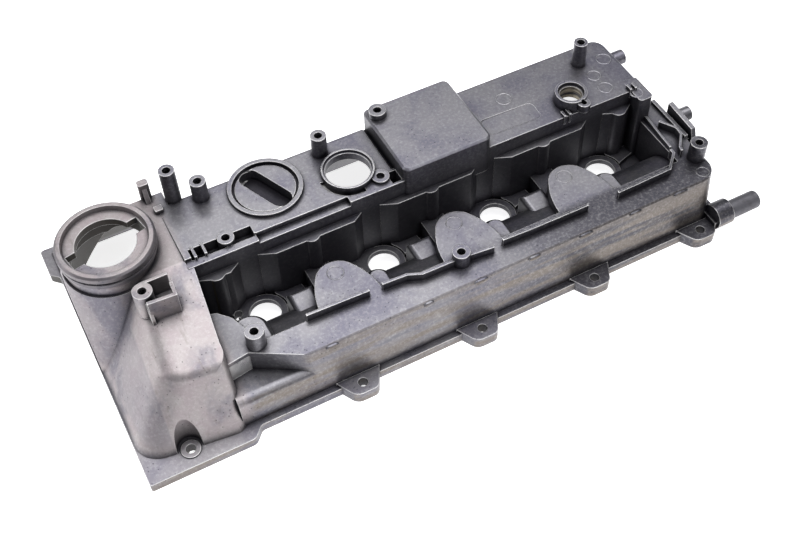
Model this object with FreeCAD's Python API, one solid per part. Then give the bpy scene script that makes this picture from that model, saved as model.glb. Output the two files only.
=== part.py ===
import FreeCAD, Part
from collections import namedtuple
import math
import os

# Valve cover of a four-cylinder diesel engine, one aluminium die casting with a pressed-in hose pipe.
# Casting datum: x = 0 timing end of the flange, y = 0 its front edge, z = 0 gasket face.
# The finished pieces move together, so that the origin is the bottom centre of the whole.

Vector = FreeCAD.Vector

# Cylinder layout
cylinder_count = 4
cylinder_pitch = 97.0

# Wall of the casting and fit of the cuts
wall = 4.0
overcut = 1.0
far_reach = 1200.0

# Flange on the gasket face
flange_thickness = 8.0
timing_end_x = 77.0
main_end_lead = 12.0
main_end_x = timing_end_x + cylinder_count * cylinder_pitch + main_end_lead
main_front_y = 8.0
main_rear_y = 213.0
timing_rear_y = 232.0
flange_corner_radius = 7.0
rear_tab_reach = 6.5
rear_tab_length = 26.0

# Ears that take the cover bolts
ear_thickness = 10.0
ear_lead = 84.0
ear_offset = 3.3
ear_tip_radius = 8.5
ear_left_reach = 17.5
ear_right_reach = 17.0
ear_depth_inside = 4.5
bolt_hole_radius = 3.6

# Timing hump
hump_foot_x = 1.0
hump_shoulder_x = 32.0
hump_foot_y = 8.0
hump_front_z = 60.0
hump_bend_y = 31.0
hump_front_turn = 0.12
hump_mid_y = 112.0
hump_mid_z = 78.0
hump_rear_y = 178.0
hump_rear_z = 80.0
hump_rear_foot_y = 226.0
hump_channel_x = 77.5
hump_edge_radius = 9.0
hump_shoulder_radius = 22.0

# Bolt recess in the front of the hump
recess_x = 34.3
recess_hole_y = 13.3
recess_back_y = 23.5
recess_half_width = 9.2
recess_floor_z = 8.0
recess_pad_radius = 7.0

# Front deck over the camshaft
deck_z = 52.0
deck_foot_y = 12.5
deck_front_y = 17.5
deck_inner_y = 43.0
deck_corner_x = 124.0
deck_left_y = 47.0
deck_end_x = main_end_x - 7.0
deck_edge_bevel = 1.2
deck_corner_radius = 14.0

# Low shelf in front of the deck's slanted corner
shelf_z = 32.0
shelf_edge_radius = 7.0

# Channel for the injectors
channel_floor_z = 14.0
floor_thickness = 4.0
channel_end_x = deck_end_x - 20.0
channel_back_y = 104.5
saddle_crest_y = 66.0
saddle_crest_z = 39.0
saddle_foot_y = 81.0

# Injector seats
injector_lead = 46.0
injector_y = 87.6
injector_bore_radius = 11.8
injector_ring_radius = 16.6
injector_pad_z = 18.0
injector_seat_radius = 15.0
injector_seat_web = 4.5
injector_clearance = 0.6

# Lobes between the cylinders
lobe_lead = 73.0
lobe_half_width = 23.9
lobe_depth_y = 81.8
lobe_tip_radius = 16.5
lobe_pillar_radius = 9.5
lobe_shoulder_z = 41.0
web_z = 31.0

# Plateau over the second camshaft
plateau_start_x = 84.0
plateau_end_x = deck_end_x - 12.0
plateau_left_z = 79.5
plateau_right_z = 75.5
plateau_back_y = 168.0
plateau_foot_y = 206.0
plateau_corner_radius = 10.0
plateau_edge_radius = 3.0

# Raised breather box
box_length = 72.5
box_lead = 23.5
box_start_x = timing_end_x + 2 * cylinder_pitch - box_lead
box_end_x = box_start_x + box_length
box_front_y = 102.0
box_back_y = 173.0
box_z = 90.5
box_corner_radius = 5.0
box_edge_bevel = 1.6

# Ledges on the rear wall of the channel
ledge_z = 63.0
ledge_depth = 5.6
ledge_gap = 15.0
ledge_lead = 34.0
ledge_bulge_radius = 6.5
ledge_bulge_reach = 2.6

# Filler neck
neck_x = 36.0
neck_y = 142.0
neck_rim_z = 95.0
neck_turret_z = 74.0
neck_skirt_radius = 32.5
neck_rim_radius = 35.0
neck_recess_radius = 29.5
neck_bore_radius = 21.5
neck_ledge_z = 91.0
neck_ledge_thickness = 6.0

# Half flange and stubs at the rear end
end_flange_y = 73.5
end_flange_width = 33.0
end_stub_radius = 5.8
plateau_stub_radius = 6.0

# Screw bosses
boss_hole_radius = 3.1
boss_hole_depth = 18.0
boss_hole_floor = 2.0

# Trench and slot along the plateau's front edge
trench_length = 47.0
trench_width = 8.5
trench_depth = 10.0
trench_rib_width = 5.5
slot_drop = 2.6
end_rib_leads = (1.0, 5.5)
sensor_rib_leads = (9.6, 14.1)

# Drain hole beside the first injector
drain_lead = 18.0
drain_offset = 9.0
drain_radius = 3.0

# Ports of the plateau
disc_lead = 18.3
disc_x = timing_end_x + cylinder_pitch - disc_lead
disc_y = 145.3
disc_ring_radius = 27.6
disc_ring_height = 3.0
disc_face_radius = 22.4
disc_recess = 2.0
trough_length = 47.0
trough_width = 16.0
trough_depth = 9.0
trough_angle = -66.0
vent_lead = 32.0
vent_x = box_start_x - vent_lead
vent_y = 131.7
vent_ring_radius = 19.8
vent_ring_height = 4.5
vent_bore_radius = 16.8
sensor_lead = 59.4
sensor_x = plateau_end_x - sensor_lead
sensor_y = 117.7
sensor_ring_radius = 12.5
sensor_ring_height = 10.0
sensor_bore_radius = 8.6

# Shallow bare field on the plateau
field_x = sensor_x - 50.0
field_y = 122.7
field_length = 45.0
field_width = 17.5
field_depth = 0.5
field_turn = -1.5

# Hose pipe at the rear end
pipe_radius = 7.2
pipe_bore_radius = 5.0
pipe_length = 37.0
pipe_start_x = main_end_x - 8.0
pipe_press_depth = 10.0
pipe_y = 7.5
pipe_z = 14.0


def outline(corners, z=0.0):
    """Closed wire through corners (x, y, radius), each corner rounded by its own radius."""
    turns = []
    count = len(corners)
    for index in range(count):
        x, y, radius = corners[index]
        here = Vector(x, y, z)
        before = Vector(corners[index - 1][0], corners[index - 1][1], z) - here
        after = Vector(corners[(index + 1) % count][0], corners[(index + 1) % count][1], z) - here
        if radius <= 0.0:
            turns.append((here, here, here))
            continue
        half = before.getAngle(after) / 2.0
        before.normalize()
        after.normalize()
        middle_line = before + after
        middle_line.normalize()
        reach = radius / math.tan(half)
        middle = here + middle_line * (radius / math.sin(half) - radius)
        turns.append((here + before * reach, middle, here + after * reach))
    edges = []
    for index in range(count):
        start, middle, end = turns[index]
        previous_end = turns[index - 1][2]
        if previous_end.distanceToPoint(start) > 1e-6:
            edges.append(Part.makeLine(previous_end, start))
        if start.distanceToPoint(end) > 1e-6:
            edges.append(Part.Arc(start, middle, end).toShape())
    return Part.Wire(edges)


def prism(corners, z_low, z_high):
    """Upright prism of a rounded outline."""
    return Part.Face(outline(corners, z_low)).extrude(Vector(0, 0, z_high - z_low))


def sharp(points, radius=0.0):
    """Corners of an outline that all have the same radius."""
    return [(x, y, radius) for x, y in points]


def block(x_low, x_high, y_low, y_high, z_low, z_high, radius=0.0):
    """Upright block with rounded vertical edges."""
    corners = [(x_low, y_low), (x_high, y_low), (x_high, y_high), (x_low, y_high)]
    return prism(sharp(corners, radius), z_low, z_high)


def lengthwise(section, x_low, x_high):
    """Prism along X of a closed section given as (y, z) points."""
    points = [Vector(x_low, y, z) for y, z in section]
    face = Part.Face(Part.makePolygon(points + [points[0]]))
    return face.extrude(Vector(x_high - x_low, 0, 0))


def rod(x, y, z_low, z_high, radius):
    """Upright cylinder."""
    return Part.makeCylinder(radius, z_high - z_low, Vector(x, y, z_low))


def taper(x, y, z_low, z_high, radius_low, radius_high):
    """Upright cone frustum."""
    return Part.makeCone(radius_low, radius_high, z_high - z_low, Vector(x, y, z_low))


def trim(solid, point, outward):
    """Remove what lies beyond the plane through point that faces outward."""
    slab = Part.makeBox(far_reach, far_reach, far_reach, Vector(-far_reach / 2, -far_reach / 2, 0))
    slab.Placement = FreeCAD.Placement(point, FreeCAD.Rotation(Vector(0, 0, 1), outward))
    return solid.cut(slab)


def trim_all(solid, planes, inset):
    """Trim by planes (point, outward), each moved inwards by inset."""
    for point, outward in planes:
        direction = Vector(outward)
        direction.normalize()
        solid = trim(solid, point - direction * inset, direction)
    return solid


def round_edges(solid, radius, chosen):
    """Fillet the edges for which chosen(edge) holds."""
    edges = [edge for edge in solid.Edges if chosen(edge)]
    return solid.makeFillet(radius, edges)


def bevel_edges(solid, width, chosen):
    """Chamfer the edges for which chosen(edge) holds."""
    edges = [edge for edge in solid.Edges if chosen(edge)]
    return solid.makeChamfer(width, edges)


def at_top(solid, tolerance=0.05):
    """Test for the edges that lie wholly in the highest level of a solid."""
    top = solid.BoundBox.ZMax
    return lambda edge: edge.BoundBox.ZMin > top - tolerance


def plateau_z(x):
    """Height of the plateau, which falls a little towards the rear end."""
    share = (x - plateau_start_x) / (plateau_end_x - plateau_start_x)
    return plateau_left_z + (plateau_right_z - plateau_left_z) * share


def bay_x(index):
    """Start of a cylinder bay, one per cylinder, counted from the timing end."""
    return timing_end_x + index * cylinder_pitch


def ear_x(index):
    """Place of an ear along the flange."""
    return bay_x(index) + ear_lead


def fuse(solids):
    """One shape from several that overlap or touch."""
    return solids[0].multiFuse(solids[1:])


def tongue_prism(x, root_y, start_y, end_y, half_width, tip_radius, z_low, z_high):
    """Upright prism whose straight sides run from root_y to start_y and close in three arcs at end_y."""
    depth = end_y - start_y
    tip_y = depth - tip_radius
    side_radius = (half_width ** 2 + tip_y ** 2 - tip_radius ** 2) / (2.0 * (half_width - tip_radius))
    side_x = side_radius - half_width
    turn = math.atan2(tip_y, side_x)

    def side_point(angle, side):
        reach = side_radius * math.cos(angle) - side_x
        return Vector(x + side * reach, start_y + side_radius * math.sin(angle), z_low)

    right_foot, right_turn = side_point(0.0, 1), side_point(turn, 1)
    left_foot, left_turn = side_point(0.0, -1), side_point(turn, -1)
    right_root = Vector(x + half_width, root_y, z_low)
    left_root = Vector(x - half_width, root_y, z_low)
    edges = [
        Part.makeLine(left_root, right_root),
        Part.makeLine(right_root, right_foot),
        Part.Arc(right_foot, side_point(turn / 2, 1), right_turn).toShape(),
        Part.Arc(right_turn, Vector(x, end_y, z_low), left_turn).toShape(),
        Part.Arc(left_turn, side_point(turn / 2, -1), left_foot).toShape(),
        Part.makeLine(left_foot, left_root),
    ]
    return Part.Face(Part.Wire(edges)).extrude(Vector(0, 0, z_high - z_low))


def ear(x, edge_y, outward):
    """Triangular bolt ear on a flange edge; outward is -1 at the front and 1 at the rear."""
    hole_y = edge_y + outward * ear_offset
    root_y = edge_y - outward * ear_depth_inside
    corners = [
        (x - ear_left_reach, root_y, 0.0),
        (x - ear_tip_radius, hole_y + outward * ear_tip_radius, ear_tip_radius),
        (x + ear_tip_radius, hole_y + outward * ear_tip_radius, ear_tip_radius * 0.7),
        (x + ear_right_reach, root_y, 0.0),
    ]
    return prism(corners, 0.0, ear_thickness)


def flange():
    """Flange plate with its timing section, ears and rear tab."""
    corners = [
        (0.0, 0.0, 1.5),
        (timing_end_x, 0.0, flange_corner_radius),
        (timing_end_x + main_front_y * 0.9, main_front_y, 4.0),
        (main_end_x, main_front_y, flange_corner_radius),
        (main_end_x, main_rear_y, flange_corner_radius),
        (plateau_start_x, main_rear_y, 4.0),
        (timing_end_x, timing_rear_y, flange_corner_radius),
        (-rear_tab_reach, timing_rear_y, 3.0),
        (-rear_tab_reach, timing_rear_y - rear_tab_length, 2.0),
        (0.0, timing_rear_y - rear_tab_length - rear_tab_reach, 3.0),
    ]
    plate = prism(corners, 0.0, flange_thickness)
    ears = []
    for index in range(cylinder_count):
        ears.append(ear(ear_x(index), main_front_y, -1))
        ears.append(ear(ear_x(index), main_rear_y, 1))
    return fuse([plate] + ears)


def hump_planes(inset):
    """Timing hump as planes trimmed from its plan; the planes of the cavity lie inset inside."""
    low = -overcut if inset else 0.0
    corners = [
        (inset / 2, inset / 2, 0.0),
        (timing_end_x - inset, inset / 2, 0.0),
        (hump_channel_x - inset, deck_left_y, 0.0),
        (plateau_start_x - inset, channel_back_y + inset, 0.0),
        (plateau_start_x + wall, channel_back_y + inset, 0.0),
        (plateau_start_x + wall, hump_rear_foot_y + wall - inset, 0.0),
        (inset / 2, hump_rear_foot_y + wall - inset, 0.0),
    ]
    solid = prism(corners, low, hump_rear_z + wall)
    rise = hump_front_z - flange_thickness
    planes = [
        (Vector(hump_foot_x, 0, flange_thickness), Vector(-rise, 0, hump_shoulder_x - hump_foot_x)),
        (
            Vector(timing_end_x, hump_foot_y, flange_thickness),
            Vector(-rise * hump_front_turn, -rise, hump_bend_y - hump_foot_y),
        ),
        (
            Vector(0, hump_bend_y, hump_front_z),
            Vector(0, hump_front_z - hump_mid_z, hump_mid_y - hump_bend_y),
        ),
        (
            Vector(0, hump_mid_y, hump_mid_z),
            Vector(0, hump_mid_z - hump_rear_z, hump_rear_y - hump_mid_y),
        ),
        (
            Vector(0, hump_rear_y, hump_rear_z),
            Vector(0, hump_rear_z - flange_thickness, hump_rear_foot_y - hump_rear_y),
        ),
    ]
    return trim_all(solid, planes, inset)


def hump_mass(inset):
    """Timing hump with its rounded edges."""
    solid = hump_planes(inset)
    folds = [edge for edge in solid.Edges if is_hump_corner(edge) or is_shoulder(edge)]
    solid = solid.makeFillet(hump_shoulder_radius - inset, folds)
    rims = [edge for edge in solid.Edges if is_hump_side(edge) or is_hump_bend(edge)]
    return solid.makeFillet(hump_edge_radius - inset, rims)


def is_shoulder(edge):
    """True for the edges between the hump's left slope and its tops."""
    box = edge.BoundBox
    middle_x = (box.XMin + box.XMax) / 2
    return box.ZMin > hump_front_z - 3 * wall and abs(middle_x - hump_shoulder_x - 4) < 12 and box.YLength > 20


def is_hump_corner(edge):
    """True for the edge between the hump's left slope and its front face."""
    box = edge.BoundBox
    return box.YMax < hump_bend_y + 6 * wall and box.ZLength > 30 and box.XMax < timing_end_x * 0.6


def is_hump_bend(edge):
    """True for the edge between the hump's front face and its top."""
    box = edge.BoundBox
    high = box.ZMin > hump_front_z - 3 * wall and box.ZLength < wall
    return high and box.XLength > timing_end_x / 3 and box.YMax < hump_bend_y + 2 * wall


def is_hump_side(edge):
    """True for the edge between the hump's front face and its channel side."""
    box = edge.BoundBox
    return box.YMax < hump_bend_y + 3 * wall and box.XMin > timing_end_x - 3 * wall and box.ZLength > 20


def deck_section(inset):
    """Section (y, z) of the deck and of the saddle that falls from it into the channel."""
    low = -overcut if inset else 0.0
    top = deck_z - inset
    return [
        (deck_foot_y - 0.8 + inset, low),
        (deck_front_y + inset, top),
        (deck_inner_y, top),
        (deck_inner_y + inset * 0.2, deck_z - 5.0 - inset),
        (saddle_crest_y - inset * 0.5, saddle_crest_z - inset),
        (saddle_foot_y - inset, channel_floor_z + inset),
        (saddle_foot_y + 1.0 - inset, low),
    ]


def deck_corner(inset):
    """Wedge that takes away the deck's slanted front left corner above the shelf."""
    slope = (deck_front_y + 2.0 - deck_left_y) / (deck_corner_x - hump_channel_x)
    start_x = hump_channel_x - 20.0
    end_x = main_end_x / 2
    shift = inset * math.sqrt(1.0 + slope * slope)
    corners = [
        (start_x, deck_left_y + slope * (start_x - hump_channel_x) + shift),
        (start_x, -20.0),
        (end_x, -20.0),
        (end_x, deck_left_y + slope * (end_x - hump_channel_x) + shift),
    ]
    return prism(sharp(corners), shelf_z - inset, deck_z + wall)


def deck_mass(inset):
    """Front deck with its saddle, open below when it is the cavity."""
    start_x = hump_channel_x + wall if inset else hump_channel_x - wall
    body = lengthwise(deck_section(inset), start_x, deck_end_x - inset)
    if not inset:
        body = bevel_edges(body, deck_edge_bevel, is_deck_rim)
        crest = [edge for edge in body.Edges if is_saddle_crest(edge)]
        body = body.makeFillet(saddle_crest_y - deck_inner_y, crest)
    corner = [edge for edge in body.Edges if is_deck_corner(edge)]
    body = body.makeFillet(deck_corner_radius - inset, corner)
    body = body.cut(deck_corner(inset))
    return body if inset else round_edges(body, shelf_edge_radius, is_shelf_rim)


def is_deck_corner(edge):
    """True for the tall edge at the deck's front and rear end."""
    box = edge.BoundBox
    return box.XMin > deck_end_x - 2 * wall and box.ZLength > deck_z / 2 and box.YMax < deck_front_y + 2 * wall


def is_deck_rim(edge):
    """True for the deck's long outer edge."""
    box = edge.BoundBox
    return box.ZMin > deck_z - 0.1 and box.YMax < deck_front_y + 0.1 and box.XLength > cylinder_pitch


def is_shelf_rim(edge):
    """True for the shelf's long outer edge."""
    box = edge.BoundBox
    return abs(box.ZMin - shelf_z) < 0.1 and box.ZLength < 0.1 and box.YMax < deck_front_y and box.XLength > 20


def is_saddle_crest(edge):
    """True for the long edge where the saddle turns down into the channel."""
    box = edge.BoundBox
    return abs(box.YMin - saddle_crest_y) < 0.5 and abs(box.ZMin - saddle_crest_z) < 0.5


def lobe_x(index):
    """Middle of a lobe; there is one between each pair of cylinders."""
    return bay_x(index) + lobe_lead + lobe_half_width


def lobe_mass(index, inset):
    """Lobe of the deck between two injectors, close to half an ellipse in plan."""
    low = -overcut if inset else 0.0
    return tongue_prism(
        lobe_x(index), deck_front_y + 2 * wall, deck_inner_y - 2.0, lobe_depth_y - inset,
        lobe_half_width - inset, lobe_tip_radius - inset, low, deck_z - inset,
    )


def lobe_flanks(index):
    """Rounded barrel right of a lobe, lower shoulder left of it and web to the rear wall."""
    right_x = lobe_x(index) + lobe_half_width
    left_x = lobe_x(index) - lobe_half_width
    barrel_y = deck_inner_y + lobe_pillar_radius + 4.0
    barrel = fuse([
        rod(right_x + 3.0, barrel_y, channel_floor_z - 2.0, deck_z - 4.0, lobe_pillar_radius),
        block(
            right_x + 3.0 - lobe_pillar_radius, right_x + 3.0 + lobe_pillar_radius,
            deck_inner_y - 3.0, barrel_y, channel_floor_z - 2.0, deck_z - 4.0,
        ),
    ]).removeSplitter()
    barrel = bevel_edges(barrel, lobe_pillar_radius * 0.35, at_top(barrel))
    shoulder = block(
        left_x - 12.0, left_x + 8.0, deck_inner_y - 3.0, saddle_foot_y - 2.0,
        channel_floor_z - 2.0, lobe_shoulder_z,
    )
    shoulder = round_edges(shoulder, 3.9, at_top(shoulder))
    web = block(
        left_x + 11.0, left_x + 30.0, saddle_crest_y, channel_back_y + 1.0, channel_floor_z - 2.0, web_z,
    )
    return [barrel, shoulder, web]


def end_deck(inset):
    """Deck that closes the channel at the rear end."""
    low = -overcut if inset else 0.0
    body = block(
        channel_end_x + inset, deck_end_x - inset, deck_front_y + deck_corner_radius + wall + inset,
        channel_back_y - inset + 4.0, low, deck_z - inset, 0.0,
    )
    tower_x = plateau_end_x - 12.0 + inset
    tower = block(
        tower_x, plateau_end_x - inset, channel_back_y - 13.0 + inset, channel_back_y + 12.0,
        low, plateau_right_z + 0.3 - inset, 3.0,
    )
    return [body, tower]


def left_deck(inset):
    """Deck along the hump at the timing end of the channel."""
    low = -overcut if inset else 0.0
    near_x = hump_channel_x - wall
    corners = [
        (near_x, deck_inner_y - 8.0, 0.0),
        (near_x, saddle_foot_y + 2.0 - inset, 0.0),
        (near_x + 13.0 - inset, saddle_foot_y - 2.0 - inset, 4.0 - inset * 0.6),
        (near_x + 21.0 - inset, saddle_foot_y - 11.0 - inset, 4.0),
        (near_x + 33.0 - inset, deck_inner_y - 3.0, 0.0),
    ]
    return prism(corners, low, deck_z - inset)


def plateau_mass(inset):
    """Plateau over the second camshaft, with its slanted rear wall."""
    low = -overcut if inset else 0.0
    start_x = plateau_start_x - (5.0 * wall if inset else wall)
    body = block(
        start_x, plateau_end_x + 8.0, channel_back_y + inset, plateau_foot_y + wall, low, plateau_left_z + wall,
    )
    fall = plateau_left_z - plateau_right_z
    top_point = Vector(plateau_start_x, 0, plateau_left_z)
    planes = [
        (top_point, Vector(fall, 0, plateau_end_x - plateau_start_x)),
        (
            Vector(0, plateau_back_y, plateau_right_z),
            Vector(0, plateau_right_z - flange_thickness, plateau_foot_y - plateau_back_y),
        ),
        (Vector(plateau_end_x, 0, plateau_right_z), Vector(plateau_right_z, 0, wall)),
    ]
    body = trim_all(body, planes, inset)
    corner = [edge for edge in body.Edges if is_end_corner(edge)]
    body = body.makeFillet(plateau_corner_radius - inset, corner)
    return body if inset else round_edges(body, plateau_edge_radius, is_plateau_rim)


def is_end_corner(edge):
    """True for the tall edge at the plateau's rear end and back."""
    box = edge.BoundBox
    return box.XMin > plateau_end_x - 3 * wall and box.ZLength > 30 and box.YMax > plateau_back_y


def is_plateau_rim(edge):
    """True for the back edge and the end edge of the plateau's top."""
    box = edge.BoundBox
    high = box.ZMin > plateau_right_z - 3.0
    return high and box.YMax > plateau_back_y - 3 * wall and box.XMax > plateau_start_x + wall


def box_mass(inset):
    """Raised breather box on the plateau."""
    low = plateau_right_z - 5.0 * wall
    body = block(
        box_start_x + inset, box_end_x - inset, box_front_y + inset, box_back_y - inset,
        low, box_z - inset, box_corner_radius - inset / 2,
    )
    return body if inset else bevel_edges(body, box_edge_bevel, at_top(body))


def injector_x(index):
    """Axis of an injector bore."""
    return bay_x(index) + injector_lead


def channel_floor():
    """Floor plate of the injector channel."""
    return block(
        plateau_start_x - wall, channel_end_x + wall, saddle_foot_y - 3 * wall, channel_back_y + wall,
        channel_floor_z - floor_thickness, channel_floor_z,
    )


def injector_seat(index):
    """Raised pad around an injector: a ring with a tapered wing and a clamp pad."""
    x = injector_x(index)
    pad_low = channel_floor_z - floor_thickness
    ring = rod(x, injector_y, pad_low, injector_pad_z, injector_ring_radius)
    wing = [
        (x - 27.0, channel_back_y - 1.0, 0.0),
        (x - injector_ring_radius * 0.8, injector_y - 3.0, 0.0),
        (x, injector_y, 0.0),
        (x, channel_back_y + 1.0, 0.0),
        (x - 27.0, channel_back_y + 1.0, 0.0),
    ]
    clamp = [
        (x + injector_ring_radius - 1.0, injector_y - 1.0, 0.0),
        (x + 35.0, injector_y + 5.0, 0.0),
        (x + 34.0, injector_y + 13.0, 0.0),
        (x + 18.0, channel_back_y + 1.0, 0.0),
        (x + injector_ring_radius - 4.0, channel_back_y + 1.0, 0.0),
    ]
    seat = [ring, prism(wing, pad_low, injector_pad_z), prism(clamp, pad_low, injector_pad_z)]
    return fuse(seat).common(seat_limit())


def seat_limit():
    """Space in front of the rear wall in which the injector pads lie."""
    return block(
        plateau_start_x - wall, channel_end_x + wall, saddle_foot_y - 4 * wall, channel_back_y + overcut,
        0.0, deck_z,
    )


def injector_cut(index):
    """Bore of an injector with the seal seat on its underside and the clamp pad's joint line."""
    x = injector_x(index)
    bore = rod(x, injector_y, -overcut, injector_pad_z + overcut, injector_bore_radius)
    seat_z = injector_pad_z - injector_seat_web
    seat = rod(x, injector_y, -overcut, seat_z, injector_seat_radius)
    way = rod(x, injector_y, injector_pad_z, deck_z, injector_bore_radius + injector_clearance)
    groove = rod(x, injector_y, injector_pad_z - 1.5, injector_pad_z + overcut, injector_ring_radius + 1.4)
    groove = groove.cut(rod(x, injector_y, channel_floor_z, injector_pad_z + 2.0, injector_ring_radius))
    groove = groove.common(block(x + 8.0, x + 30.0, injector_y - 6.0, channel_back_y, 0.0, deck_z))
    return [bore, seat, way, groove]


def rear_ledge(start_x, end_x):
    """Ledge on the channel's rear wall, with pointed ends and a round bulge in its middle."""
    front_y = channel_back_y - ledge_depth
    middle_x = (start_x + end_x) / 2
    corners = [
        (start_x, channel_back_y + overcut, 0.0),
        (start_x, channel_back_y - 0.3, 0.0),
        (start_x + 2.2 * ledge_depth, front_y, 0.0),
        (end_x - 1.4 * ledge_depth, front_y, 0.0),
        (end_x, channel_back_y - 0.3, 0.0),
        (end_x, channel_back_y + overcut, 0.0),
    ]
    low = channel_floor_z - overcut
    strip = prism(corners, low, ledge_z)
    bulge_y = channel_back_y - ledge_depth - ledge_bulge_reach + ledge_bulge_radius
    bulge = rod(middle_x, bulge_y, low, ledge_z, ledge_bulge_radius)
    bulge = trim(bulge, Vector(0, channel_back_y + overcut, 0), Vector(0, 1, 0))
    return fuse([strip, bulge])


def rear_ledges():
    """All ledges of the channel's rear wall, one per cylinder pitch."""
    ledges = []
    for index in range(cylinder_count + 1):
        start_x = max(bay_x(index) - cylinder_pitch + ledge_lead + ledge_gap + 4.0, plateau_start_x - wall)
        end_x = min(bay_x(index) + ledge_lead + 4.0, channel_end_x - 2.0)
        ledges.append(rear_ledge(start_x, end_x))
    return ledges


def screw_boss(boss):
    """Upright screw boss rooted in the wall that it stands on."""
    return rod(boss.x, boss.y, boss.face_z - wall / 2, boss.top_z, boss.tip_radius)


def boss_hole(boss):
    """Blind screw hole from the top of a boss."""
    depth = min(boss_hole_depth, boss.top_z - boss.face_z + wall / 2 - boss_hole_floor)
    return rod(boss.x, boss.y, boss.top_z - depth, boss.top_z + overcut, boss_hole_radius)


Boss = namedtuple("Boss", "x y face_z top_z tip_radius")
bosses = {
    "rear_tall": Boss(plateau_start_x + 9.5, plateau_back_y + 0.5, plateau_left_z, 109.0, 5.8),
    "rear_short": Boss(plateau_start_x + 27.4, plateau_back_y - 8.2, plateau_left_z, 97.0, 6.0),
    "rear_middle": Boss(vent_x - 10.0, plateau_back_y - 9.1, plateau_z(vent_x), 97.0, 6.0),
    "rear_end": Boss(plateau_end_x - 31.0, plateau_back_y - 18.0, plateau_right_z, 98.5, 5.4),
    "trench": Boss(plateau_start_x + 28.6, channel_back_y + 11.6, plateau_left_z - trench_depth, 80.0, 6.2),
    "beside_box": Boss(box_start_x - 13.6, channel_back_y + 10.8, plateau_z(vent_x) - 1.0, 80.5, 6.6),
    "on_box": Boss(box_start_x + 8.3, box_back_y - 10.5, box_z, 96.0, 6.6),
    "deck_left": Boss(hump_channel_x + 23.4, deck_inner_y - 1.0, deck_z, 67.0, 6.8),
    "deck_middle": Boss(box_start_x + 10.0, deck_inner_y - 6.0, deck_z, 64.0, 6.6),
    "deck_end": Boss(deck_end_x - 6.0, deck_inner_y - 3.5, deck_z, 69.0, 6.6),
    "timing": Boss(hump_shoulder_x + 12.0, hump_mid_y - 22.0, hump_mid_z - 6.0, 92.0, 7.0),
}


def filler_neck():
    """Filler neck turned about its axis, with a double rim and an inner ledge."""
    profile = [
        (neck_bore_radius - 1.0, neck_turret_z - 2 * wall),
        (neck_skirt_radius, neck_turret_z - 2 * wall),
        (neck_skirt_radius, neck_rim_z - 12.5),
        (neck_rim_radius - 0.6, neck_rim_z - 11.0),
        (neck_rim_radius - 0.6, neck_rim_z - 8.0),
        (neck_rim_radius - 2.6, neck_rim_z - 6.5),
        (neck_rim_radius, neck_rim_z - 5.0),
        (neck_rim_radius, neck_rim_z - 1.5),
        (neck_rim_radius - 1.5, neck_rim_z),
        (neck_recess_radius + 1.0, neck_rim_z),
        (neck_recess_radius, neck_ledge_z),
        (neck_bore_radius - 1.0, neck_ledge_z),
    ]
    points = [Vector(neck_x + radius, neck_y, z) for radius, z in profile]
    face = Part.Face(Part.makePolygon(points + [points[0]]))
    return face.revolve(Vector(neck_x, neck_y, 0), Vector(0, 0, 1), 360)


def neck_turret(inset):
    """Cone that carries the neck out of the hump's left slope, flat at the timing end."""
    spread = 22.0
    cone = taper(
        neck_x, neck_y, -overcut if inset else 0.0, neck_turret_z - inset,
        neck_skirt_radius + 2.0 + spread - inset, neck_skirt_radius + 2.0 - inset,
    )
    cone = trim(cone, Vector(hump_foot_x + inset, 0, 0), Vector(-1, 0, 0))
    return trim(cone, Vector(plateau_start_x - wall, 0, 0), Vector(1, 0, 0))


def neck_core():
    """Space below the neck's ledge, and the bore with its two bayonet cut-outs."""
    ledge_low = neck_ledge_z - neck_ledge_thickness
    below = rod(neck_x, neck_y, -overcut, ledge_low, neck_recess_radius - 1.0)
    bore = rod(neck_x, neck_y, ledge_low - overcut, neck_rim_z + overcut, neck_bore_radius)
    arm = block(
        neck_x - neck_recess_radius + 1.5, neck_x + neck_recess_radius - 1.5,
        neck_y - 6.5, neck_y + 6.5, ledge_low - overcut, neck_rim_z + overcut,
    )
    arm.rotate(Vector(neck_x, neck_y, 0), Vector(0, 0, 1), 12.0)
    top = rod(neck_x, neck_y, neck_ledge_z, neck_rim_z + overcut, neck_recess_radius)
    return [below, bore, arm, top]


def timing_boss_box():
    """Two walls that tie the timing boss to the hump, and its blade rib."""
    boss = bosses["timing"]
    x, y, top = boss.x, boss.y, boss.top_z - 1.0
    near = block(x, x + 21.0, y - 11.0, y - 8.6, hump_front_z, top - 1.0)
    far = block(x, x + 20.0, y + 6.0, y + 8.2, hump_front_z, top)
    end = block(x + 18.6, x + 21.0, y - 11.0, y + 1.0, hump_front_z, top - 1.0)
    near.rotate(Vector(x, y, 0), Vector(0, 0, 1), -4.0)
    end.rotate(Vector(x, y, 0), Vector(0, 0, 1), -4.0)
    blade = block(x - 1.2, x + 1.2, y - 13.0, y, hump_front_z, top - 4.0)
    blade = trim(blade, Vector(x, y - 8.0, top - 4.0), Vector(0, -1.0, 0.35))
    return [near, far, end, blade]


def deck_rib(points, thickness=2.0, height=7.0):
    """Thin upright rib on the deck along a chain of (x, y) points, mitred at its bends."""
    sides = ([], [])
    for index in range(len(points)):
        here = Vector(points[index][0], points[index][1], 0)
        back = Vector(*points[max(index - 1, 0)], 0)
        ahead = Vector(*points[min(index + 1, len(points) - 1)], 0)
        runs = [run.normalize() for run in (here - back, ahead - here) if run.Length > 0]
        across = sum((Vector(-run.y, run.x, 0) for run in runs), Vector(0, 0, 0)).normalize()
        reach = thickness / 2 / across.dot(Vector(-runs[0].y, runs[0].x, 0))
        sides[0].append(here + across * reach)
        sides[1].append(here - across * reach)
    corners = [(point.x, point.y) for point in sides[0] + sides[1][::-1]]
    return prism(sharp(corners), deck_z - 2.0, deck_z + height)


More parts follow.
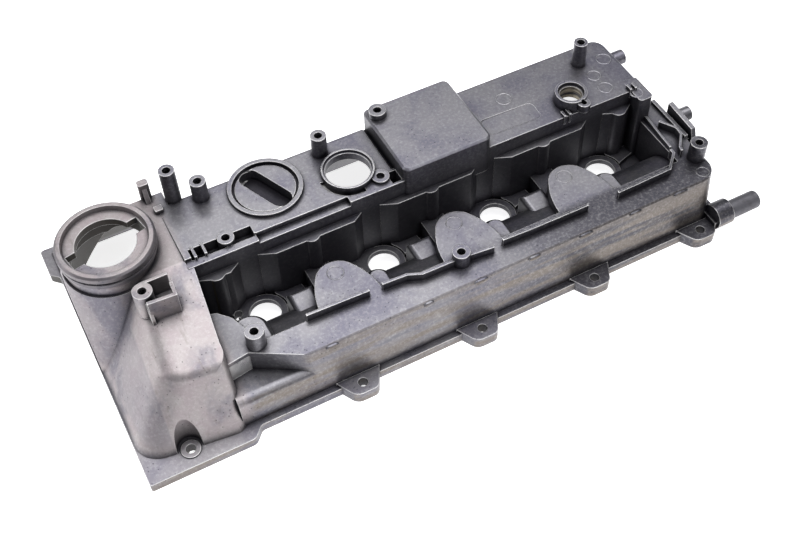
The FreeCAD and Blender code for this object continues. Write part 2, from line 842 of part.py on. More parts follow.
def deck_ribs():
    """Ribs between the lobes and the front of the deck; each lobe's flat runs past them."""
    middle = bosses["deck_middle"]
    ribs = [
        [(lobe_x(0) - 35.0, deck_inner_y), (lobe_x(0) + 13.0, deck_inner_y - 1.5)],
        [
            (lobe_x(0) + 23.0, deck_inner_y - 1.0), (lobe_x(0) + 42.0, deck_inner_y - 2.0),
            (lobe_x(0) + 52.0, middle.y - 0.5), (middle.x, middle.y - 1.0),
            (middle.x + 25.0, middle.y - 3.5),
        ],
        [
            (lobe_x(1) + 20.0, middle.y - 1.0), (lobe_x(2) - 55.0, middle.y - 2.0),
            (lobe_x(2) - 5.0, middle.y - 2.5),
        ],
        [
            (lobe_x(2) + 21.0, middle.y - 3.0), (channel_end_x - 14.0, middle.y - 2.0),
            (channel_end_x - 2.0, middle.y + 10.0), (channel_end_x - 2.0, middle.y + 14.0),
        ],
    ]
    walls = [deck_rib(points) for points in ribs]
    end_rib = [(channel_end_x + 1.5, middle.y + 18.0), (channel_end_x + 4.5, channel_back_y - 7.0)]
    walls.append(deck_rib(end_rib, 1.6, 4.0))
    return walls


def plateau_trench():
    """Trench behind the thin front rib at the plateau's timing end, with a step beside it."""
    rib_back_y = channel_back_y + trench_rib_width
    trench_start_x = plateau_start_x + 1.0
    trench_end_x = trench_start_x + trench_length
    trench = block(
        trench_start_x, trench_end_x, rib_back_y, rib_back_y + trench_width,
        plateau_left_z - trench_depth, plateau_left_z + wall,
    )
    lowered = block(
        plateau_start_x - wall, trench_end_x + overcut, channel_back_y - 2.0, rib_back_y + overcut,
        plateau_left_z - slot_drop, plateau_left_z + wall,
    )
    step = block(
        trench_end_x + overcut, vent_x - 11.0, channel_back_y - 2.0, rib_back_y + 0.5,
        ledge_z + 11.0, plateau_left_z + wall,
    )
    pocket = block(
        bosses["beside_box"].x + 5.5, box_start_x - 0.5, channel_back_y + 2.0, rib_back_y + trench_width - overcut,
        plateau_right_z - trench_depth, plateau_left_z + wall,
    )
    gap = block(
        box_start_x - 3.0, box_start_x, rib_back_y + trench_width + overcut, plateau_back_y + wall,
        plateau_right_z - slot_drop, plateau_left_z + wall,
    )
    return [trench, lowered, step, pocket, gap]


def left_pedestal():
    """Round pedestal behind the left deck boss."""
    boss = bosses["deck_left"]
    pedestal = fuse([
        rod(boss.x + 1.0, boss.y + 14.0, channel_floor_z - 2.0, deck_z - 1.5, 2 * boss.tip_radius),
        block(
            boss.x + 1.0 - 2 * boss.tip_radius, boss.x + 1.0 + 2 * boss.tip_radius, boss.y - 4.0, boss.y + 14.0,
            channel_floor_z - 2.0, deck_z - 1.5,
        ),
    ]).removeSplitter()
    return bevel_edges(pedestal, boss.tip_radius * 0.4, at_top(pedestal))


def trench_walls():
    """Material under and around the trenches, kept inside the plateau's outer form."""
    walls = []
    for cut in plateau_trench():
        box = cut.BoundBox
        walls.append(block(
            box.XMin - wall, box.XMax + wall, box.YMin - wall, box.YMax + wall, box.ZMin - wall * 0.8, box.ZMax,
        ))
    return fuse(walls).common(plateau_mass(0.0))


def trench_ribs():
    """Small ribs that cross the trench and the slot at the plateau's edges."""
    rib_back_y = channel_back_y + trench_rib_width
    ribs = []
    for offset in (3.0, 10.5):
        ribs.append(block(
            plateau_start_x + offset, plateau_start_x + offset + 2.0, rib_back_y - 0.5, rib_back_y + trench_width + overcut,
            plateau_left_z - trench_depth - overcut, plateau_left_z + 0.6,
        ))
    end_z = plateau_z(channel_end_x)
    starts = [channel_end_x - lead for lead in end_rib_leads] + [sensor_x - lead for lead in sensor_rib_leads]
    for start_x in starts:
        ribs.append(block(
            start_x, start_x + 1.8, channel_back_y - 1.0, channel_back_y + 5.0, end_z - 6.0, end_z + 3.0,
        ))
    return ribs


def closed_port():
    """Cast-in disc in a raised ring, closed, with a slanted trough across it."""
    top = plateau_z(disc_x)
    ring = rod(disc_x, disc_y, top - wall, top + disc_ring_height, disc_ring_radius)
    face = rod(disc_x, disc_y, top - disc_recess + disc_ring_height, top + 2 * wall, disc_face_radius + 2.0)
    groove = rod(disc_x, disc_y, top - 0.5, top + 2 * wall, disc_face_radius + 2.0)
    groove = groove.cut(rod(disc_x, disc_y, top - wall, top + 2 * wall, disc_face_radius))
    half = trough_length / 2 - trough_width / 2
    ends = [
        rod(disc_x + side * half, disc_y, top - trough_depth, top + 2 * wall, trough_width / 2) for side in (-1, 1)
    ]
    middle = block(
        disc_x - half, disc_x + half, disc_y - trough_width / 2, disc_y + trough_width / 2,
        top - trough_depth, top + 2 * wall,
    )
    trough = fuse(ends + [middle]).removeSplitter()
    trough.rotate(Vector(disc_x, disc_y, 0), Vector(0, 0, 1), trough_angle)
    floor = rod(disc_x, disc_y, top - trough_depth - wall, top - wall / 2, disc_face_radius)
    return [ring, floor], [face, groove, trough]


def vent_port():
    """Open round port with a raised ring and a crescent groove on its front left side."""
    top = plateau_z(vent_x)
    ring = rod(vent_x, vent_y, top - wall, top + vent_ring_height, vent_ring_radius)
    bore = rod(vent_x, vent_y, top - 3 * wall, top + 3 * wall, vent_bore_radius)
    seat = rod(vent_x, vent_y, top + vent_ring_height - 2.0, top + 3 * wall, vent_ring_radius - 1.4)
    groove = rod(vent_x, vent_y, top - 3.0, top + overcut, vent_ring_radius + 3.0)
    groove = groove.cut(rod(vent_x, vent_y, top - wall, top + wall, vent_ring_radius))
    reach = 2 * vent_ring_radius
    groove = groove.common(block(vent_x - reach, vent_x + wall, vent_y - reach, vent_y, 0.0, far_reach))
    return [ring], [bore, seat, groove]


def sensor_port():
    """Bored boss for a sensor with the small ear that holds it."""
    top = plateau_z(sensor_x) + sensor_ring_height
    ring = rod(sensor_x, sensor_y, top - sensor_ring_height - wall, top, sensor_ring_radius)
    ear_place = (sensor_x + 3.1, sensor_y - 13.5)
    ear_boss = rod(ear_place[0], ear_place[1], top - 2 * wall, top - 1.5, 5.0)
    neck = block(
        ear_place[0] - 4.5, ear_place[0] + 4.5, ear_place[1], sensor_y, top - 2 * wall, top - 1.5,
    )
    bore = rod(sensor_x, sensor_y, top - 8 * wall, top + overcut, sensor_bore_radius)
    seat = rod(sensor_x, sensor_y, top - 3.0, top + overcut, sensor_bore_radius + 1.6)
    ear_hole = rod(ear_place[0], ear_place[1], top - 9.0, top + overcut, 2.2)
    return [ring, ear_boss, neck], [bore, seat, ear_hole]


def plateau_field():
    """Shallow rounded field in the plateau's top."""
    top = plateau_z(field_x) - field_depth
    corners = sharp([
        (field_x - field_length / 2, field_y - field_width / 2), (field_x + field_length / 2, field_y - field_width / 2),
        (field_x + field_length / 2, field_y + field_width / 2), (field_x - field_length / 2, field_y + field_width / 2),
    ], 4.0)
    field = prism(corners, top, top + wall)
    field.rotate(Vector(field_x, field_y, 0), Vector(0, 0, 1), field_turn)
    return field


def timing_lug():
    """Curved tongue behind the neck with two feet, and the small square lug beside it."""
    x = hump_channel_x
    tongue = block(x - 5.0, x + 3.0, hump_rear_y - 2.0, hump_rear_y + 4.0, hump_rear_z - wall, neck_rim_z, 2.0)
    spine = block(x - 3.0, x + 0.5, hump_rear_y - 10.0, hump_rear_y, hump_rear_z - 6.0, neck_rim_z - 4.0)
    spine = trim(spine, Vector(x, hump_rear_y - 2.0, neck_rim_z - 4.0), Vector(0, -1.0, 0.45))
    lug = block(x - 0.5, x + 5.5, hump_rear_y - 19.0, hump_rear_y - 13.5, hump_rear_z - 6.0, hump_rear_z + 3.0, 0.8)
    return [tongue, spine, lug]


def end_flange():
    """Upright half flange on the end wall, with its stub and the J-shaped rib on the deck."""
    x = deck_end_x + 3.5
    near_y = end_flange_y - end_flange_width / 2
    far_y = end_flange_y + end_flange_width / 2
    section = [
        (near_y, 2.0), (near_y, deck_z), (near_y + 3.0, deck_z + 8.0), (far_y, deck_z + 10.0), (far_y, 2.0),
    ]
    plate = lengthwise(section, x, x + wall)
    bridge = block(deck_end_x - wall, x + 1.0, near_y + 3.0, far_y - 2.0, 2.0, deck_z - 2.0)
    stub = Part.makeCylinder(end_stub_radius, 16.0, Vector(x + 1.0, far_y - 6.0, deck_z - 3.0), Vector(1, 0, 0))
    hook_line = [
        (deck_end_x - 12.0, far_y - 10.0), (deck_end_x - 4.5, near_y + 11.0), (deck_end_x - 5.0, near_y + 4.0),
        (deck_end_x - 14.0, near_y - 7.0), (deck_end_x - 15.0, near_y - 11.0),
    ]
    hook = deck_rib(hook_line, 1.8, 7.0)
    rim = block(
        deck_end_x - 1.5, deck_end_x + 1.5, near_y + 3.0, channel_back_y, deck_z - 3.0, deck_z + 3.0,
    )
    return [plate, bridge, stub, hook, rim]


def plateau_stub():
    """Short round stub on the plateau's end wall."""
    start = Vector(plateau_end_x - wall, plateau_back_y - 17.0, plateau_right_z - 2 * plateau_stub_radius + 0.5)
    return Part.makeCylinder(plateau_stub_radius, 17.0, start, Vector(1, 0, 0))


def pipe_block():
    """Boss on the flange's rear end that holds the hose pipe."""
    start = Vector(main_end_x - 12.0, pipe_y + 1.0, pipe_z)
    body = Part.makeCylinder(pipe_radius + 2.8, 14.0, start, Vector(1, 0, 0))
    foot = block(main_end_x - 14.0, main_end_x, pipe_y - 6.0, pipe_y + 10.0, flange_thickness - 2.0, pipe_z)
    return [body, foot]


def pipe_seat():
    """Bore into which the hose pipe is pressed."""
    start = Vector(pipe_start_x, pipe_y, pipe_z)
    return Part.makeCylinder(pipe_radius, pipe_press_depth + 2.0, start, Vector(1, 0, 0))


def hose_pipe():
    """Hose pipe with its bore and a rounded free end."""
    start = Vector(pipe_start_x, pipe_y, pipe_z)
    body = Part.makeCylinder(pipe_radius, pipe_length, start, Vector(1, 0, 0))
    rim = [edge for edge in body.Edges if edge.BoundBox.XMin > start.x + pipe_length - 0.1]
    body = body.makeFillet(1.5, rim)
    bore = Part.makeCylinder(pipe_bore_radius, pipe_length + 2.0, start - Vector(1, 0, 0), Vector(1, 0, 0))
    return body.cut(bore)


def front_recess(inset):
    """Recess in the hump's front face around its bolt; the inset form is the wall behind it."""
    half = recess_half_width + inset
    centre_y = recess_back_y - recess_half_width
    low = recess_floor_z if inset == 0.0 else 0.0
    shape = fuse([
        rod(recess_x, centre_y, low, deck_z, half),
        block(recess_x - half, recess_x + half, -20.0, centre_y, low, deck_z),
    ])
    return shape.removeSplitter()


def bolt_holes():
    """Through holes of the ears, the front recess and the rear tab."""
    holes = []
    top = ear_thickness + overcut
    for index in range(cylinder_count):
        for y in (main_front_y - ear_offset, main_rear_y + ear_offset):
            holes.append(rod(ear_x(index), y, -overcut, top, bolt_hole_radius))
    holes.append(rod(recess_x, recess_hole_y, -overcut, 2 * ear_thickness, bolt_hole_radius))
    return holes


def outer_masses():
    """Everything that gives the casting its outer form, before the cavity is cut."""
    masses = [
        flange(), fuse([hump_mass(0.0), neck_turret(0.0)]), filler_neck(), deck_mass(0.0), left_deck(0.0),
        plateau_mass(0.0), box_mass(0.0), channel_floor(),
    ]
    masses += end_deck(0.0) + [left_pedestal()]
    for index in range(cylinder_count - 1):
        masses.append(lobe_mass(index, 0.0))
        masses += lobe_flanks(index)
    for index in range(cylinder_count):
        masses.append(injector_seat(index))
    return masses + rear_ledges()


def cavities():
    """Hollow underside, one wall inside the outer masses."""
    hollow = [
        hump_mass(wall).cut(front_recess(wall)), deck_mass(wall), left_deck(wall), plateau_mass(wall),
        box_mass(wall), end_deck(wall)[0], neck_turret(wall),
    ]
    hollow += [lobe_mass(index, wall) for index in range(cylinder_count - 1)]
    below = block(
        plateau_start_x - wall, channel_end_x + 2 * wall, deck_foot_y + 2 * wall, channel_back_y + 2 * wall,
        -overcut, channel_floor_z - floor_thickness,
    )
    link = block(
        hump_channel_x - 3 * wall, plateau_start_x + wall, deck_front_y + 3 * wall, saddle_crest_y - 2 * wall,
        -overcut, shelf_z - 2 * wall,
    )
    return hollow + [below, link]


def cover_casting():
    """The whole die casting."""
    body = fuse(outer_masses())
    body = body.cut(cavities())
    added = [screw_boss(boss) for boss in bosses.values()]
    added += deck_ribs() + trench_ribs() + timing_boss_box() + timing_lug() + end_flange() + pipe_block()
    added += [plateau_stub(), rod(recess_x, recess_hole_y, 0.0, recess_floor_z + 1.0, recess_pad_radius)]
    removed = plateau_trench() + [front_recess(0.0), plateau_field()]
    body = body.fuse(trench_walls()).cut(removed)
    removed = []
    for port in (closed_port, vent_port, sensor_port):
        gained, lost = port()
        added += gained
        removed += lost
    body = body.multiFuse(added)
    cuts = removed + neck_core() + bolt_holes() + [pipe_seat()]
    cuts += [boss_hole(boss) for boss in bosses.values()]
    for index in range(cylinder_count):
        cuts += injector_cut(index)
    drain_x = injector_x(0) - drain_lead
    cuts.append(rod(drain_x, channel_back_y - drain_offset, -overcut, deck_z / 2, drain_radius))
    body = trim(body.cut(cuts), Vector(0, 0, 0), Vector(0, 0, -1))
    return body.removeSplitter()


def main():
    """Build both pieces, set their common origin and write them."""
    os.makedirs("parts", exist_ok=True)
    pieces = {"cover_casting": cover_casting(), "hose_pipe": hose_pipe()}
    pipe_end_x = pipe_start_x + pipe_length
    ear_tip_y = main_front_y - ear_offset - ear_tip_radius
    shift = Vector((rear_tab_reach - pipe_end_x) / 2, -(ear_tip_y + timing_rear_y) / 2, 0.0)
    for name, shape in pieces.items():
        shape.translate(shift)
        shape.exportStep("parts/" + name + ".step")


main()
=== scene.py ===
import logging
from dataclasses import dataclass, field
from enum import Enum
from typing import Mapping, Optional, Sequence, Tuple, Union

import bpy
import numpy as np
from mathutils import Matrix, Vector


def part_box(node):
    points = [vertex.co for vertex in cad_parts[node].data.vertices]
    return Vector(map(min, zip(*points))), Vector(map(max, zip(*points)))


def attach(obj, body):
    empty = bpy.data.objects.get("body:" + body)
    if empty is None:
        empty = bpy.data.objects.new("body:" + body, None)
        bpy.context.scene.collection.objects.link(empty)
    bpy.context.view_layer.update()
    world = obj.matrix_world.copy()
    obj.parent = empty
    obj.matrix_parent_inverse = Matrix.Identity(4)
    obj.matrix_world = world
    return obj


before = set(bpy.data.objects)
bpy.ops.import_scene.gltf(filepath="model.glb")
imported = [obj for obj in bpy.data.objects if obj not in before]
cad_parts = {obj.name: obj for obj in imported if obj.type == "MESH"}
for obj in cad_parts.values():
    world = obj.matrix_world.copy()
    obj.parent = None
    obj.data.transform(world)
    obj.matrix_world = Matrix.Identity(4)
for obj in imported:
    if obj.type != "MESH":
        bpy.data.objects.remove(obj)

log = logging.getLogger("valve_cover")

Point = Tuple[float, float, float]
Colour = Tuple[float, float, float, float]
Axis = Tuple[float, float]
Ramp = Tuple[float, float]


class Slot(Enum):
    """Material slots of the part's record."""

    CASTING = "cast_aluminium"
    PIPE = "pipe_aluminium"


@dataclass(frozen=True)
class Pattern:
    """Size and character of one noise; a stretched one has its cells per metre in stretch."""

    scale: float = 1.0
    detail: float = 3.0
    rough: float = 0.55
    distortion: float = 0.0
    stretch: Optional[Point] = None
    turn: float = 0.0


class Value:
    """A number that varies over a surface, with Python arithmetic in place of Math nodes."""

    def __init__(self, graph: "ShaderGraph", socket: bpy.types.NodeSocket) -> None:
        """Wrap an output socket.

        Args:
            graph: The graph that the socket belongs to.
            socket: The output that carries the number.
        """
        self.graph = graph
        self.socket = socket

    def __add__(self, other: "Number") -> "Value":
        """Sum."""
        return self.graph.math("ADD", self, other)

    __radd__ = __add__

    def __sub__(self, other: "Number") -> "Value":
        """Difference."""
        return self.graph.math("SUBTRACT", self, other)

    def __rsub__(self, other: "Number") -> "Value":
        """Reflected difference."""
        return self.graph.math("SUBTRACT", other, self)

    def __mul__(self, other: "Number") -> "Value":
        """Product."""
        return self.graph.math("MULTIPLY", self, other)

    __rmul__ = __mul__

    def __pow__(self, other: "Number") -> "Value":
        """Power."""
        return self.graph.math("POWER", self, other)

    def __neg__(self) -> "Value":
        """Opposite."""
        return self.graph.math("MULTIPLY", self, -1.0)

    def __abs__(self) -> "Value":
        """Size without sign."""
        return self.graph.math("ABSOLUTE", self)

    def most(self, other: "Number") -> "Value":
        """Larger of two numbers."""
        return self.graph.math("MAXIMUM", self, other)

    def rise(self, start: float, end: float) -> "Value":
        """Smooth step.

        Args:
            start: Where the result is 0.
            end: Where the result is 1; it may lie below start.

        Returns:
            A number from 0 to 1.
        """
        if start > end:
            return 1.0 - self.rise(end, start)
        node = self.graph.node(
            "ShaderNodeMapRange",
            {"interpolation_type": "SMOOTHSTEP"},
            {0: self, 1: start, 2: end, 3: 0.0, 4: 1.0},
        )
        return Value(self.graph, node.outputs[0])


Number = Union[Value, float]


class ShaderGraph:
    """Node tree of one material."""

    def __init__(self, name: str) -> None:
        """Start a material with a Principled shader.

        Args:
            name: The material's name.
        """
        self.material = bpy.data.materials.new(name)
        self.material.use_nodes = True
        self.tree = self.material.node_tree
        self.tree.nodes.clear()
        self.surface = self.node("ShaderNodeBsdfPrincipled", {}, {})
        output = self.node("ShaderNodeOutputMaterial", {}, {})
        self.tree.links.new(self.surface.outputs[0], output.inputs[0])

    def node(
        self, kind: str, settings: Mapping[str, object], inputs: Mapping[Union[int, str], object]
    ) -> bpy.types.Node:
        """Add a node, set it up and feed it.

        Args:
            kind: Blender's name of the node's type.
            settings: Properties by name.
            inputs: Values or links by the socket's name or number.

        Returns:
            The new node.
        """
        made = self.tree.nodes.new(kind)
        for key, setting in settings.items():
            setattr(made, key, setting)
        for key, given in inputs.items():
            self.feed(made.inputs[key], given)
        return made

    def feed(self, socket: bpy.types.NodeSocket, given: object) -> None:
        """Link a socket or set its constant.

        Args:
            socket: The input.
            given: A Value, an output socket or a constant.
        """
        if isinstance(given, Value):
            self.tree.links.new(given.socket, socket)
        elif isinstance(given, bpy.types.NodeSocket):
            self.tree.links.new(given, socket)
        else:
            socket.default_value = given

    def math(self, operation: str, first: Number, second: Optional[Number] = None) -> Value:
        """Add one Math node.

        Args:
            operation: Name of the operation.
            first: First number.
            second: Second number, if the operation has one.

        Returns:
            The result.
        """
        inputs = {0: first} if second is None else {0: first, 1: second}
        made = self.node("ShaderNodeMath", {"operation": operation}, inputs)
        return Value(self, made.outputs[0])

    def mix(self, share: Number, first: object, second: object) -> bpy.types.NodeSocket:
        """Mix two colours.

        Args:
            share: Share of the second colour.
            first: First colour.
            second: Second colour.

        Returns:
            Output socket of the mixed colour.
        """
        made = self.node(
            "ShaderNodeMix", {"data_type": "RGBA", "blend_type": "MIX", "clamp_factor": True},
            {0: share, 6: first, 7: second},
        )
        return made.outputs[2]

    def place(self) -> Tuple[bpy.types.NodeSocket, Value, Value, Value]:
        """Object coordinates as a vector and as three numbers.

        Returns:
            The vector socket and its X, Y and Z values in metres.
        """
        source = self.node("ShaderNodeTexCoord", {}, {}).outputs["Object"]
        return (source, *self.split(source))

    def facing(self) -> Tuple[Value, Value, Value]:
        """Surface normal in object space.

        Returns:
            Its X, Y and Z values.
        """
        return self.split(self.node("ShaderNodeTexCoord", {}, {}).outputs["Normal"])

    def split(self, vector: bpy.types.NodeSocket) -> Tuple[Value, Value, Value]:
        """Split a vector into its numbers.

        Args:
            vector: The vector's socket.

        Returns:
            Its X, Y and Z values.
        """
        x, y, z = self.node("ShaderNodeSeparateXYZ", {}, {0: vector}).outputs
        return Value(self, x), Value(self, y), Value(self, z)

    def noise(self, place: bpy.types.NodeSocket, pattern: Pattern) -> Value:
        """Fractal noise about 0.5.

        Args:
            place: Coordinates.
            pattern: The noise's size and character.

        Returns:
            The noise.
        """
        if pattern.stretch is not None:
            inputs = {0: place, 2: (0.0, 0.0, pattern.turn), 3: pattern.stretch}
            place = self.node("ShaderNodeMapping", {}, inputs).outputs[0]
        made = self.node(
            "ShaderNodeTexNoise", {"noise_dimensions": "3D"},
            {
                "Vector": place, "Scale": pattern.scale, "Detail": pattern.detail,
                "Roughness": pattern.rough, "Distortion": pattern.distortion,
            },
        )
        return Value(self, made.outputs[0])

    def cells(self, place: bpy.types.NodeSocket, scale: float) -> Value:
        """Distance to the nearest of many scattered points, in cells.

        Args:
            place: Coordinates.
            scale: Cells per metre.

        Returns:
            The distance.
        """
        inputs = {"Vector": place, "Scale": scale, "Randomness": 1.0}
        return Value(self, self.node("ShaderNodeTexVoronoi", {"feature": "F1"}, inputs).outputs["Distance"])

    def shelter(self, reach: float, inside: bool = False) -> Value:
        """How open the surface lies, from 0 in a crevice to 1 in the open.

        Args:
            reach: Distance in metres within which other surfaces count.
            inside: Look into the solid, which finds its thin edges.

        Returns:
            The openness.
        """
        made = self.node(
            "ShaderNodeAmbientOcclusion", {"samples": 8, "inside": inside, "only_local": True},
            {"Distance": reach},
        )
        return Value(self, made.outputs["AO"])

    def softened(self, radius: float) -> bpy.types.NodeSocket:
        """Normal with the edges rounded in the shading.

        Args:
            radius: Radius of the rounding in metres.

        Returns:
            The normal's socket.
        """
        return self.node("ShaderNodeBevel", {"samples": 6}, {"Radius": radius}).outputs[0]

    def bumped(self, height: Number, depth: float, strength: float, normal: object) -> bpy.types.NodeSocket:
        """Normal with a relief.

        Args:
            height: Relief from 0 to 1.
            depth: Depth of the relief in metres.
            strength: Strength of the relief.
            normal: The normal below the relief.

        Returns:
            The normal's socket.
        """
        inputs = {"Strength": strength, "Distance": depth, "Height": height, "Normal": normal}
        return self.node("ShaderNodeBump", {}, inputs).outputs[0]


@dataclass(frozen=True)
class CastAluminium:
    """Die-cast aluminium: grey skin, a warm hump partly painted bright as a highlight, a channel and crevices
    painted dark as shade with some grime, and edges painted bright as wear and highlight.

    A ramp gives where a zone's mask is 0 and where it is 1. Ramps of places are in metres, and ramps of tilt
    are shares of the surface's normal.
    """

    skin: Colour = (0.205, 0.201, 0.216, 1.0)
    cool: Colour = (0.142, 0.138, 0.170, 1.0)
    # warm and bright: the hump's tones, whose lightness is partly a painted highlight.
    warm: Colour = (0.31, 0.272, 0.280, 1.0)
    bright: Colour = (0.335, 0.308, 0.308, 1.0)
    brown: Colour = (0.150, 0.130, 0.115, 1.0)
    # Painted shade for the deck's end, upright faces, the near wall's bands and the neck's lip.
    painted_shade: Colour = (0.072, 0.070, 0.082, 1.0)
    # Near-black for grime and for painted shade in crevices, the channel and the disc's slot.
    grime_and_painted_shade: Colour = (0.008, 0.007, 0.011, 1.0)
    # Pale for worn speckles and for edges, which are wear and painted highlight.
    worn_and_highlight: Colour = (0.80, 0.79, 0.78, 1.0)
    # Light tone of the turned rings, partly a painted sheen.
    gold: Colour = (0.55, 0.49, 0.38, 1.0)
    # Near-black for the insides of the neck and the hollow: painted shade.
    stain_and_shade: Colour = (0.022, 0.017, 0.010, 1.0)

    cloud: Pattern = Pattern(24.0, 4.0, 0.6, 0.4)
    blotch: Pattern = Pattern(70.0, 5.0, 0.65, 0.8)
    mottle: Pattern = Pattern(420.0, 4.0, 0.7)
    grain: Pattern = Pattern(1600.0, 3.0, 0.6)
    streak: Pattern = Pattern(detail=3.0, rough=0.6, stretch=(260.0, 34.0, 150.0), turn=0.08)
    band: Pattern = Pattern(detail=4.0, rough=0.6, stretch=(11.0, 150.0, 130.0))
    turning: Pattern = Pattern(detail=2.0, rough=0.5, stretch=(40.0, 40.0, 900.0))
    pore_scale: float = 260.0

    shelter_reach: float = 0.030
    corner_reach: float = 0.006
    edge_reach: float = 0.0012
    edge_radius: float = 0.0009
    relief_depth: float = 0.00022
    relief_strength: float = 0.55

    upright_tilt: Ramp = (0.75, 0.45)
    hump_end_x: Ramp = (-0.164, -0.174)
    hump_foot_z: Ramp = (0.006, 0.014)
    slope_foot_z: Ramp = (0.012, 0.020)
    slope_top_z: Ramp = (0.080, 0.074)
    crease_x: Ramp = (-0.2181, -0.2197)
    crease_lean: float = 0.063
    wall_tilt: Ramp = (0.45, 0.80)
    wall_y: Ramp = (-0.0926, -0.0986)
    deck_y: Ramp = (-0.066, -0.074)
    deck_shade_x: Ramp = (-0.02, 0.12)
    deck_grime_x: Ramp = (0.06, 0.16)
    channel_front_y: Ramp = (-0.076, -0.068)
    channel_back_y: Ramp = (-0.0056, -0.0101)
    channel_top_z: Ramp = (0.082, 0.058)
    rear_tilt: Ramp = (0.5, 0.8)

    neck_axis: Axis = (-0.21375, 0.0279)
    neck_inward: Ramp = (0.0, -0.004)
    neck_under: Ramp = (0.1, 0.5)
    neck_reach: Ramp = (0.085, 0.081)
    neck_top_z: Ramp = (0.0907, 0.0903)
    neck_bore: Ramp = (0.0300, 0.0290)
    neck_root_z: Ramp = (0.075, 0.070)
    lip_inside: Ramp = (0.0330, 0.0340)
    lip_outside: Ramp = (0.037, 0.036)
    lip_z: Ramp = (0.0825, 0.0830)
    disc_axis: Axis = (-0.09405, 0.0312)
    disc_face: Ramp = (0.0222, 0.0217)
    disc_slot_z: Ramp = (0.0722, 0.0712)
    port_axis: Axis = (0.14885, 0.0036)
    port_seat: Ramp = (0.0108, 0.0103)
    port_z: Ramp = (0.0835, 0.0825)
    hollow_front_y: Ramp = (-0.004, -0.001)
    hollow_back_y: Ramp = (0.0502, 0.0494)
    hollow_top_z: Ramp = (0.0620, 0.0600)
    hollow_start_x: Ramp = (-0.166, -0.164)
    hollow_end_x: Ramp = (0.125, 0.120)

    def material(self) -> bpy.types.Material:
        """Build the finish.

        Returns:
            The material.
        """
        return CastShading(self).material()


